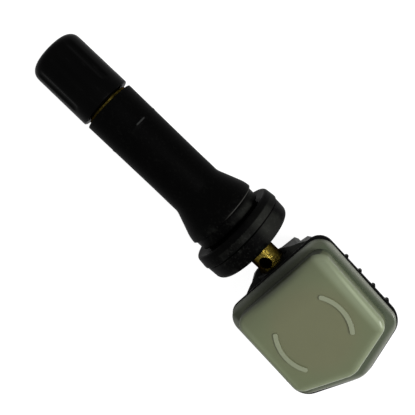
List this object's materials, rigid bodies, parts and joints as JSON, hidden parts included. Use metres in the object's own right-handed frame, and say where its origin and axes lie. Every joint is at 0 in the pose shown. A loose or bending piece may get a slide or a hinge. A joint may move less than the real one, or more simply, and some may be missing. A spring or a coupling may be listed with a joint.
{
  "type": "tyre pressure sensor",
  "caption": "Rubber snap-in tyre valve with a screwed-on black sensor housing, a translucent domed lid and a long fluted cap.",
  "frame": {"origin": "on the valve axis, in the plane where the rubber flange seats on the rim", "axes": "+X along the valve axis from the cap to the sensor, +Z towards the lid, Y across the sensor"},
  "size_m": [0.079, 0.0242, 0.0254],
  "materials": {
    "black_plastic": "satin moulded",
    "black_rubber": "matt moulded",
    "seal_rubber": "matt",
    "red_rubber": "matt",
    "brass": "turned",
    "steel": "plated",
    "black_nylon": "fine moulded grain",
    "natural_nylon": "translucent, smooth",
    "board": "solder mask",
    "chip": "moulded",
    "filter": "membrane",
    "ferrite": "sintered",
    "copper": "enamelled wire"
  },
  "bodies": {
    "sensor": {"valve_stem": "brass", "valve_rubber": "black_rubber", "core_plug": "brass", "core_gasket": "red_rubber", "core_barrel": "brass", "core_spring": "steel", "retaining_screw": "steel", "housing": "black_nylon", "lid": "natural_nylon", "circuit_board": "board", "coin_cell": "steel", "tab_plus": "steel", "tab_minus": "steel", "sensor_chip": "chip", "port_gasket": "seal_rubber", "port_filter": "filter", "coil_core": "ferrite", "coil_winding": "copper", "antenna": "copper", "crystal": "steel", "chip_parts": "chip"},
    "valve_pin": {"core_pin": "brass", "core_cup": "brass"},
    "cap_lift": {"cap_seal": "seal_rubber"},
    "cap": {"valve_cap": "black_plastic"}
  },
  "joints": [
    {"name": "core_press", "type": "slide", "parent": "sensor", "child": "valve_pin", "axis": [1, 0, 0], "range_m": [0, 0.0012], "stiffness_N_per_m": 1500, "springref_m": -0.0006, "deforming": ["core_spring"]},
    {"name": "cap_rise", "type": "slide", "parent": "sensor", "child": "cap_lift", "axis": [-1, 0, 0], "range_m": [0, 0.0079]},
    {"name": "cap_turn", "type": "hinge", "parent": "cap_lift", "child": "cap", "pos_m": [0, 0, 0], "axis": [-1, 0, 0], "range_deg": [0, 3600]}
  ],
  "couplings": [
    {"joint": "cap_turn", "follows": "cap_rise", "rad_per_m": 7915.9}
  ]
}
